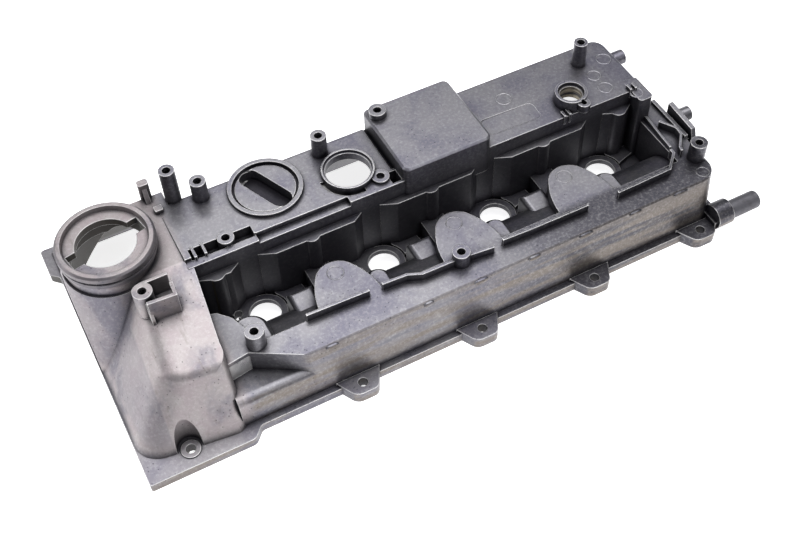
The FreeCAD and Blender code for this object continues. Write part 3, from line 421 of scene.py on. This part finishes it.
class CastShading:
    """Node tree of the cast finish: zones, layers of colour, then shine and relief."""

    def __init__(self, finish: CastAluminium) -> None:
        """Lay out the coordinates, patterns and main zones.

        Args:
            finish: Colours, patterns and places.
        """
        self.finish = finish
        self.graph = graph = ShaderGraph("cast_aluminium_skin")
        self.place, self.x, self.y, self.z = graph.place()
        self.nx, self.ny, self.nz = graph.facing()
        self.cloud = graph.noise(self.place, finish.cloud)
        self.blotch = graph.noise(self.place, finish.blotch)
        self.mottle = graph.noise(self.place, finish.mottle)
        self.streak = graph.noise(self.place, finish.streak)
        self.sheltered = graph.shelter(finish.shelter_reach).rise(0.92, 0.35)
        self.upright = abs(self.nz).rise(*finish.upright_tilt)
        self.hump = self.x.rise(*finish.hump_end_x) * self.z.rise(*finish.hump_foot_z)
        self.wall = (-self.ny).rise(*finish.wall_tilt) * self.y.rise(*finish.wall_y) * (1.0 - self.hump)
        self.channel = (
            self.y.rise(*finish.channel_front_y)
            * self.y.rise(*finish.channel_back_y)
            * self.z.rise(*finish.channel_top_z)
            * (1.0 - self.hump)
        )

    def covered(
        self, colour: object, layers: Sequence[Tuple[Number, object]]
    ) -> bpy.types.NodeSocket:
        """Lay colours over one another.

        Args:
            colour: The lowest colour.
            layers: Share and colour of each layer, from the lowest up.

        Returns:
            Output socket of the result.
        """
        for share, tint in layers:
            colour = self.graph.mix(share, colour, tint)
        return colour

    def from_axis(self, axis: Axis) -> Value:
        """Distance from an upright axis.

        Args:
            axis: The axis's X and Y.

        Returns:
            The distance in metres.
        """
        across, along = self.x - axis[0], self.y - axis[1]
        return (across * across + along * along) ** 0.5

    def body_colour(self) -> bpy.types.NodeSocket:
        """Colour of the plateau, deck and walls: clouded grey, with painted shade toward the rear end and on
        upright faces, and bands of painted shade on the near wall.

        Returns:
            The colour's socket.
        """
        finish = self.finish
        deck = self.y.rise(*finish.deck_y) * (1.0 - self.hump)
        band = self.graph.noise(self.place, finish.band)
        return self.covered(finish.skin, [
            (self.cloud.rise(0.38, 0.66), finish.cool),
            # Painted shade on the deck, growing toward its +X end.
            (deck * self.x.rise(*finish.deck_shade_x) * (0.75 + 0.5 * self.cloud), finish.painted_shade),
            (deck * self.x.rise(*finish.deck_grime_x) * 0.15, finish.grime_and_painted_shade),
            # Near wall: brown bands of its tone, with bands of painted shade between them.
            (self.wall * band.rise(0.36, 0.60) * 0.95, finish.brown),
            (self.wall * band.rise(0.52, 0.30) * 0.5, finish.painted_shade),
            # Painted shade on upright faces.
            (self.upright * (1.0 - self.wall) * (0.35 + 0.5 * self.cloud), finish.painted_shade),
        ])

    def hump_colour(self) -> bpy.types.NodeSocket:
        """Colour of the hump: warm and bright, the brightness partly a painted highlight on its sloped top,
        with cool clouds, brown streaks and a cooler slope painted in shade.

        Returns:
            The colour's socket.
        """
        finish = self.finish
        shaded_slope = (self.x - finish.crease_lean * self.y).rise(*finish.crease_x)
        shaded_slope = shaded_slope * self.z.rise(*finish.slope_foot_z) * self.z.rise(*finish.slope_top_z)
        # The warm base is lighter than the skin, partly a painted highlight on the hump's sloped top.
        return self.covered(finish.warm, [
            (self.blotch.rise(0.34, 0.64), finish.bright),
            (self.cloud.rise(0.50, 0.68) * 0.75, finish.cool),
            (self.streak.rise(0.56, 0.74) * 0.35, finish.brown),
            # Painted shade on the slope on the -X side of the crease.
            (shaded_slope * (0.10 + 0.6 * self.cloud), finish.cool),
        ])

    def shade_and_grime(self) -> Value:
        """Painted shade, with some grime, on the channel's walls, darkest on its rear wall, and in sheltered
        places.

        Returns:
            How strong the painted shade and grime are, from 0 to 1.
        """
        # Painted shade on the channel's rear wall.
        rear = (-self.ny).rise(*self.finish.rear_tilt) * self.channel
        darkening = (self.channel * self.upright * (0.40 + 0.5 * self.cloud)).most(rear * 0.85)
        # Painted shade in sheltered places.
        darkening = darkening.most(self.sheltered * (0.40 + 0.55 * self.blotch))
        return darkening.most(self.channel * self.sheltered * 0.85)

    def neck_lip(self) -> Value:
        """Mask of the neck's outer lip, which is painted in shade.

        Returns:
            The mask.
        """
        finish = self.finish
        away = self.from_axis(finish.neck_axis)
        return away.rise(*finish.lip_inside) * self.z.rise(*finish.lip_z) * away.rise(*finish.lip_outside)

    def inner_shade(self) -> Value:
        """Mask of the faces inside the neck and inside the plateau's hollow, painted near-black as shade and
        made less metallic.

        Returns:
            The mask.
        """
        finish = self.finish
        across, along = self.x - finish.neck_axis[0], self.y - finish.neck_axis[1]
        away = self.from_axis(finish.neck_axis)
        turned_in = (self.nx * across + self.ny * along).rise(*finish.neck_inward)
        in_neck = (
            turned_in.most((-self.nz).rise(*finish.neck_under))
            * away.rise(*finish.neck_reach)
            * self.z.rise(*finish.neck_top_z)
            * away.rise(*finish.neck_bore).most(self.z.rise(*finish.neck_root_z))
        )
        in_hollow = (
            self.y.rise(*finish.hollow_front_y)
            * self.y.rise(*finish.hollow_back_y)
            * self.z.rise(*finish.hollow_top_z)
            * self.x.rise(*finish.hollow_start_x)
            * self.x.rise(*finish.hollow_end_x)
        )
        return in_neck.most(in_hollow)

    def turned_rings_and_sheen(self) -> Value:
        """Mask of the turned rings in the sensor port, painted light: the bare metal's tone and a painted
        sheen.

        Returns:
            The mask.
        """
        finish = self.finish
        in_port = self.from_axis(finish.port_axis).rise(*finish.port_seat) * self.z.rise(*finish.port_z)
        return in_port * self.graph.noise(self.place, finish.turning).rise(0.35, 0.60)

    def edge_wear_and_highlight(self) -> Value:
        """Bright thin edges: wear, and painted highlights where the edges catch the light.

        Returns:
            How bright they are, from 0 up.
        """
        thin = self.graph.shelter(self.finish.edge_reach, inside=True)
        return thin.rise(0.80, 0.45) * (0.40 + self.blotch) * (1.0 - 0.35 * self.sheltered)

    def material(self) -> bpy.types.Material:
        """Build the tree.

        Returns:
            The material.
        """
        finish, graph = self.finish, self.graph
        shade_and_grime, inner_shade, wear_and_highlight = self.shade_and_grime(), self.inner_shade(), self.edge_wear_and_highlight()
        # Painted shade in crevices and corners.
        corner_shade = graph.shelter(finish.corner_reach).rise(0.92, 0.40) * (0.6 + self.blotch)
        pores = graph.cells(self.place, finish.pore_scale).rise(0.16, 0.10) * self.cloud.rise(0.40, 0.55)
        # Painted shade in the disc's slot.
        slot_shade = self.from_axis(finish.disc_axis).rise(*finish.disc_face) * self.z.rise(*finish.disc_slot_z)
        colour = self.covered(self.body_colour(), [
            (self.hump, self.hump_colour()),
            (self.mottle.rise(0.42, 0.80) * 0.16, finish.worn_and_highlight),
            # Painted shade, with some grime, in the channel and in sheltered places.
            (shade_and_grime * 0.90, finish.grime_and_painted_shade),
            # Painted shade on the neck's lip.
            (self.neck_lip() * 0.6, finish.painted_shade),
            (slot_shade * (0.70 + 0.3 * self.blotch), finish.grime_and_painted_shade),
            # Painted shade inside the neck and the hollow.
            (inner_shade * 0.92, finish.stain_and_shade),
            # Turned rings, partly a painted sheen.
            (self.turned_rings_and_sheen() * 0.85, finish.gold),
            (corner_shade * 0.90, finish.grime_and_painted_shade),
            # Bright edges: wear and painted highlight.
            (wear_and_highlight * 0.90, finish.worn_and_highlight),
            (pores * 0.55, finish.grime_and_painted_shade),
        ])
        rough = 0.23 + 0.14 * self.mottle + 0.10 * self.cloud - 0.08 * wear_and_highlight + 0.12 * self.hump + 0.18 * shade_and_grime
        grain = graph.noise(self.place, finish.grain)
        relief = 0.55 * grain + 0.45 * self.mottle + 0.25 * self.hump * self.streak - 0.6 * pores
        soft = graph.softened(finish.edge_radius)
        normal = graph.bumped(relief, finish.relief_depth, finish.relief_strength, soft)
        graph.feed(graph.surface.inputs["Base Color"], colour)
        graph.feed(graph.surface.inputs["Roughness"], rough)
        graph.feed(graph.surface.inputs["Metallic"], (0.97 - 0.45 * shade_and_grime) * (1.0 - 0.8 * inner_shade))
        graph.feed(graph.surface.inputs["Normal"], normal)
        return graph.material


@dataclass(frozen=True)
class PipeAluminium:
    """Drawn aluminium tube, matt and a little stained, with painted shade where other surfaces lie close."""

    skin: Colour = (0.115, 0.113, 0.125, 1.0)
    stain_and_shade: Colour = (0.055, 0.05, 0.055, 1.0)
    drawn: Pattern = Pattern(detail=3.0, rough=0.6, stretch=(40.0, 900.0, 900.0))
    blotch: Pattern = Pattern(160.0, 4.0, 0.6)
    grain: Pattern = Pattern(1500.0)
    corner_reach: float = 0.008
    edge_radius: float = 0.0004
    relief_depth: float = 0.00012
    relief_strength: float = 0.5

    def material(self) -> bpy.types.Material:
        """Build the finish.

        Returns:
            The material.
        """
        graph = ShaderGraph("pipe_aluminium_skin")
        place = graph.place()[0]
        blotch = graph.noise(place, self.blotch)
        # Blotchy stains plus painted shade where other surfaces lie close.
        stain_and_shade = blotch.rise(0.48, 0.72) * 0.6 + graph.shelter(self.corner_reach).rise(0.8, 0.3) * 0.8
        relief = 0.6 * graph.noise(place, self.drawn) + 0.4 * graph.noise(place, self.grain)
        soft = graph.softened(self.edge_radius)
        normal = graph.bumped(relief, self.relief_depth, self.relief_strength, soft)
        graph.feed(graph.surface.inputs["Base Color"], graph.mix(stain_and_shade, self.skin, self.stain_and_shade))
        graph.feed(graph.surface.inputs["Roughness"], 0.42 + 0.2 * blotch)
        graph.feed(graph.surface.inputs["Metallic"], 0.85 - 0.3 * stain_and_shade)
        graph.feed(graph.surface.inputs["Normal"], normal)
        return graph.material


@dataclass(frozen=True)
class PaleFloor:
    """Plain pale floor that glows faintly, so that it stays white under the soft light."""

    tint: Colour = (0.90, 0.90, 0.90, 1.0)
    glow_tint: Colour = (1.0, 1.0, 1.0, 1.0)
    glow: float = 0.80
    roughness: float = 0.85
    specular: float = 0.1

    def material(self) -> bpy.types.Material:
        """Build the finish.

        Returns:
            The material.
        """
        graph = ShaderGraph("pale_floor")
        graph.feed(graph.surface.inputs["Base Color"], self.tint)
        graph.feed(graph.surface.inputs["Roughness"], self.roughness)
        graph.feed(graph.surface.inputs["Specular IOR Level"], self.specular)
        graph.feed(graph.surface.inputs["Emission Color"], self.glow_tint)
        graph.feed(graph.surface.inputs["Emission Strength"], self.glow)
        return graph.material


def grid_piece(
    name: str, points: np.ndarray, closed: bool, slot: Slot, finish: bpy.types.Material
) -> bpy.types.Object:
    """Make a piece from one or more grids of points.

    Row i, column j of a grid meets row i + 1 and column j + 1 in one quad; a closed grid also joins its last
    column to its first.

    Args:
        name: The piece's name.
        points: Array of shape (grids, rows, columns, 3) in metres.
        closed: Whether the columns close on themselves.
        slot: The record's material slot; not used.
        finish: The material.

    Returns:
        The new object, riding on the part.
    """
    grids, rows, columns, _ = points.shape
    index = np.arange(grids * rows * columns).reshape(grids, rows, columns)
    after = np.roll(index, -1, axis=2)
    span = columns if closed else columns - 1
    quads = np.stack(
        [index[:, :-1, :span], after[:, :-1, :span], after[:, 1:, :span], index[:, 1:, :span]], axis=-1
    ).reshape(-1, 4)
    mesh = bpy.data.meshes.new(name)
    mesh.from_pydata(points.reshape(-1, 3).tolist(), [], quads.tolist())
    mesh.shade_smooth()
    mesh.materials.append(finish)
    piece = bpy.data.objects.new(name, mesh)
    bpy.context.scene.collection.objects.link(piece)
    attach(piece, "root")
    log.info("%s: %d faces", name, len(quads))
    return piece


@dataclass
class CadPiece:
    """A solid of the frame that keeps its mesh and gets a finish."""

    node: str
    slot: Slot
    finish: Union[CastAluminium, PipeAluminium]

    def dress(self) -> bpy.types.Material:
        """Give the piece its finish.

        Returns:
            The material.
        """
        skin = self.finish.material()
        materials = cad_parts[self.node].data.materials
        materials.clear()
        materials.append(skin)
        log.info("%s: finish of slot %s", self.node, self.slot.value)
        return skin


@dataclass
class CoverCasting(CadPiece):
    """The die casting."""

    node: str = "cover_casting"
    slot: Slot = Slot.CASTING
    finish: CastAluminium = field(default_factory=CastAluminium)


@dataclass
class HosePipe(CadPiece):
    """The pressed-in hose pipe."""

    node: str = "hose_pipe"
    slot: Slot = Slot.PIPE
    finish: PipeAluminium = field(default_factory=PipeAluminium)


@dataclass
class ScrewThreads:
    """Threads cut in the blind holes of the screw bosses."""

    deep_mouths: Tuple[Point, ...] = (
        (-0.15625, 0.0544, 0.109),
        (-0.13835, 0.0457, 0.097),
        (-0.04425, 0.0448, 0.097),
        (0.17725, 0.0359, 0.0985),
        (-0.13715, 0.0020, 0.080),
        (-0.14885, -0.0721, 0.067),
        (0.00775, -0.0771, 0.064),
        (0.21425, -0.0746, 0.069),
        (-0.20575, -0.0241, 0.092),
    )
    shallow_mouths: Tuple[Point, ...] = ((-0.01585, 0.0012, 0.0805), (0.00605, 0.0484, 0.096))
    bore_radius: float = 0.0031
    crest: float = 0.00042
    pitch: float = 0.001
    start: float = 0.0008
    foot: float = 0.42
    foot_sink: float = 0.1
    deep_turns: int = 9
    shallow_turns: int = 2
    steps: int = 20

    def build(self, skin: bpy.types.Material) -> None:
        """Make every thread.

        Args:
            skin: Material of the casting.
        """
        deep = self.ridges(self.deep_mouths, self.deep_turns)
        shallow = self.ridges(self.shallow_mouths, self.shallow_turns)
        grid_piece("deep_threads", deep, False, Slot.CASTING, skin)
        grid_piece("shallow_threads", shallow, False, Slot.CASTING, skin)

    def ridges(self, mouths: Sequence[Point], turns: int) -> np.ndarray:
        """Lay out a thread below each mouth.

        A thread is a triangular ridge carried along a helix: at angle a the ridge lies at depth
        pitch * a / 2 pi, its two feet are on the bore and its crest stands inwards. Its ends fade over half a
        turn into the wall.

        Args:
            mouths: Centres of the holes' mouths.
            turns: Number of turns.

        Returns:
            Points of shape (mouths, steps, 3, 3) in metres.
        """
        angle = np.linspace(0.0, 2.0 * np.pi * turns, turns * self.steps + 1)
        fade = np.clip(np.minimum(angle, angle[-1] - angle) / np.pi, 0.0, 1.0)
        offset = np.array([-self.foot, 0.0, self.foot]) * self.pitch
        inwards = np.array([-self.foot_sink, 1.0, -self.foot_sink]) * self.crest
        radius = self.bore_radius - inwards[None, :] * fade[:, None]
        depth = self.start + self.pitch * angle[:, None] / (2.0 * np.pi) + offset[None, :]
        thread = np.stack([radius * np.cos(angle)[:, None], radius * np.sin(angle)[:, None], -depth], axis=-1)
        return thread[None] + np.array(mouths)[:, None, None, :]


@dataclass
class EjectorMarks:
    """Low round marks that the die's ejector pins leave on the flat faces.

    A place holds X, Y and Z of the mark's centre and its radius.
    """

    places: Tuple[Tuple[float, float, float, float], ...] = (
        (0.10525, 0.0297, 0.0766, 0.0062),
        (0.19805, 0.0313, 0.0756, 0.0060),
        (0.18075, 0.0188, 0.0758, 0.0056),
        (0.18105, 0.0032, 0.0758, 0.0058),
        (0.19895, -0.0133, 0.0756, 0.0050),
        (-0.07545, -0.0430, 0.0520, 0.0062),
        (0.02095, -0.0431, 0.0520, 0.0062),
        (0.11645, -0.0429, 0.0520, 0.0062),
        (0.21025, -0.0891, 0.0520, 0.0050),
    )
    profile_reach: Tuple[float, ...] = (0.6, 0.25, -0.05, -0.5, -0.95, -1.25)
    profile_level: Tuple[float, ...] = (-1.0, 0.55, 1.0, 1.0, 0.45, -1.0)
    height: float = 0.00035
    width: float = 0.0008
    sink: float = 0.0004
    sides: int = 48

    def build(self, skin: bpy.types.Material) -> bpy.types.Object:
        """Make every mark.

        A mark is a low rim turned about an upright axis: its profile rises from just below the face, goes over
        a rounded rim and falls below the face again. Levels under 0 lie at the sink.

        Args:
            skin: Material of the casting.

        Returns:
            The piece.
        """
        reach = np.array(self.profile_reach) * self.width
        level = np.array(self.profile_level)
        level = np.where(level < 0.0, -self.sink, level * self.height)
        angle = np.linspace(0.0, 2.0 * np.pi, self.sides, endpoint=False)
        marks = np.array(self.places)
        radius = marks[:, 3][:, None] + reach[None, :]
        x = marks[:, 0][:, None, None] + radius[:, :, None] * np.cos(angle)
        y = marks[:, 1][:, None, None] + radius[:, :, None] * np.sin(angle)
        z = np.broadcast_to((marks[:, 2][:, None] + level[None, :])[:, :, None], x.shape)
        points = np.stack([x, y, z], axis=-1)
        return grid_piece("ejector_marks", points, True, Slot.CASTING, skin)


@dataclass
class RimGates:
    """Trimmed gates along the deck's outer rim, where the metal entered the die.

    A place holds the X of a gate's middle and half its length.
    """

    places: Tuple[Tuple[float, float], ...] = (
        (-0.1037, 0.0050),
        (-0.0290, 0.0042),
        (0.0130, 0.0058),
        (0.0572, 0.0052),
        (0.1010, 0.0062),
        (0.1444, 0.0056),
        (0.1848, 0.0066),
    )
    rim_y: float = -0.0970
    rim_z: float = 0.0497
    depth: float = 0.0019
    height: float = 0.0021
    tip: float = 0.02
    rows: int = 9
    sides: int = 16

    def build(self, skin: bpy.types.Material) -> bpy.types.Object:
        """Make every gate.

        A gate is a long low bead: its section is an ellipse that runs along X, and its size follows
        (1 - t ** 4) ** 0.5 from one end, t = -1, to the other, t = 1, so that the ends are blunt.

        Args:
            skin: Material of the casting.

        Returns:
            The piece.
        """
        share = np.sin(np.linspace(-np.pi / 2, np.pi / 2, self.rows))
        swell = np.maximum(np.sqrt(np.clip(1.0 - share ** 4, 0.0, 1.0)), self.tip)
        angle = np.linspace(0.0, 2.0 * np.pi, self.sides, endpoint=False)
        gates = np.array(self.places)
        x = gates[:, 0][:, None, None] + gates[:, 1][:, None, None] * share[None, :, None]
        x = np.broadcast_to(x, (len(gates), self.rows, self.sides))
        y = self.rim_y - self.depth * swell[None, :, None] * np.cos(angle)
        z = self.rim_z + self.height * swell[None, :, None] * np.sin(angle)
        points = np.stack([x, np.broadcast_to(y, x.shape), np.broadcast_to(z, x.shape)], axis=-1)
        return grid_piece("rim_gates", points, True, Slot.CASTING, skin)


@dataclass
class Studio:
    """Floor, lights and camera."""

    sensor_mm: float = 36.0
    lens_mm: float = 51.879
    eye: Point = (-0.252580, -0.514267, 0.700670)
    right: Point = (0.886193, -0.462724, -0.023398)
    down: Point = (-0.378183, -0.693261, -0.613487)
    ahead: Point = (0.267654, 0.552517, -0.789358)
    floor_half: float = 6.0
    aim: Point = (0.0, 0.0, 0.03)
    panels: Tuple[Tuple[str, Point, float, float], ...] = (
        ("overhead_panel", (0.15, 0.15, 1.6), 2.0, 36.0),
        ("front_panel", (0.4, -1.5, 1.2), 0.9, 5.0),
        ("end_panel", (-1.4, 0.5, 0.5), 0.5, 4.0),
    )
    sky: Colour = (0.93, 0.94, 1.0, 1.0)
    sky_strength: float = 0.38
    far_clip: float = 50.0

    def floor(self, level: float) -> None:
        """Lay the floor.

        Args:
            level: Height of the floor in metres.
        """
        half = self.floor_half
        corners = [(-half, -half, level), (half, -half, level), (half, half, level), (-half, half, level)]
        mesh = bpy.data.meshes.new("floor")
        mesh.from_pydata(corners, [], [(0, 1, 2, 3)])
        mesh.materials.append(PaleFloor().material())
        sheet = bpy.data.objects.new("floor", mesh)
        bpy.context.scene.collection.objects.link(sheet)

    def panel(self, name: str, place: Point, size: float, power: float) -> None:
        """Hang a soft light panel.

        Args:
            name: Name of the light.
            place: Its place in metres.
            size: Side of the panel in metres.
            power: Power in watts.
        """
        light = bpy.data.lights.new(name, "AREA")
        light.shape = "SQUARE"
        light.size = size
        light.energy = power
        panel = bpy.data.objects.new(name, light)
        panel.location = place
        panel.rotation_euler = (Vector(self.aim) - Vector(place)).to_track_quat("-Z", "Y").to_euler()
        bpy.context.scene.collection.objects.link(panel)

    def lights(self) -> None:
        """Set the soft studio light and the pale surroundings."""
        for name, place, size, power in self.panels:
            self.panel(name, place, size, power)
        world = bpy.data.worlds.new("studio")
        bpy.context.scene.world = world
        world.use_nodes = True
        back = world.node_tree.nodes["Background"]
        back.inputs[0].default_value = self.sky
        back.inputs[1].default_value = self.sky_strength
        bpy.context.scene.view_settings.view_transform = "Standard"

    def camera(self) -> None:
        """Set the camera from its place and its three directions."""
        data = bpy.data.cameras.new("camera")
        data.sensor_fit = "HORIZONTAL"
        data.sensor_width = self.sensor_mm
        data.lens = self.lens_mm
        data.clip_end = self.far_clip
        camera = bpy.data.objects.new("camera", data)
        right, down, ahead = Vector(self.right), Vector(self.down), Vector(self.ahead)
        turn = Matrix((right, -down, -ahead)).transposed().to_4x4()
        camera.matrix_world = Matrix.Translation(Vector(self.eye)) @ turn
        bpy.context.scene.collection.objects.link(camera)
        bpy.context.scene.camera = camera


def main() -> None:
    """Dress the part, add its fine details and set the studio."""
    logging.basicConfig(level=logging.INFO, format="%(name)s: %(message)s")
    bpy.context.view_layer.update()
    skin = CoverCasting().dress()
    HosePipe().dress()
    ScrewThreads().build(skin)
    EjectorMarks().build(skin)
    RimGates().build(skin)
    studio = Studio()
    studio.floor(float(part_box("cover_casting")[0][2]))
    studio.lights()
    studio.camera()


if __name__ == "__main__":
    main()
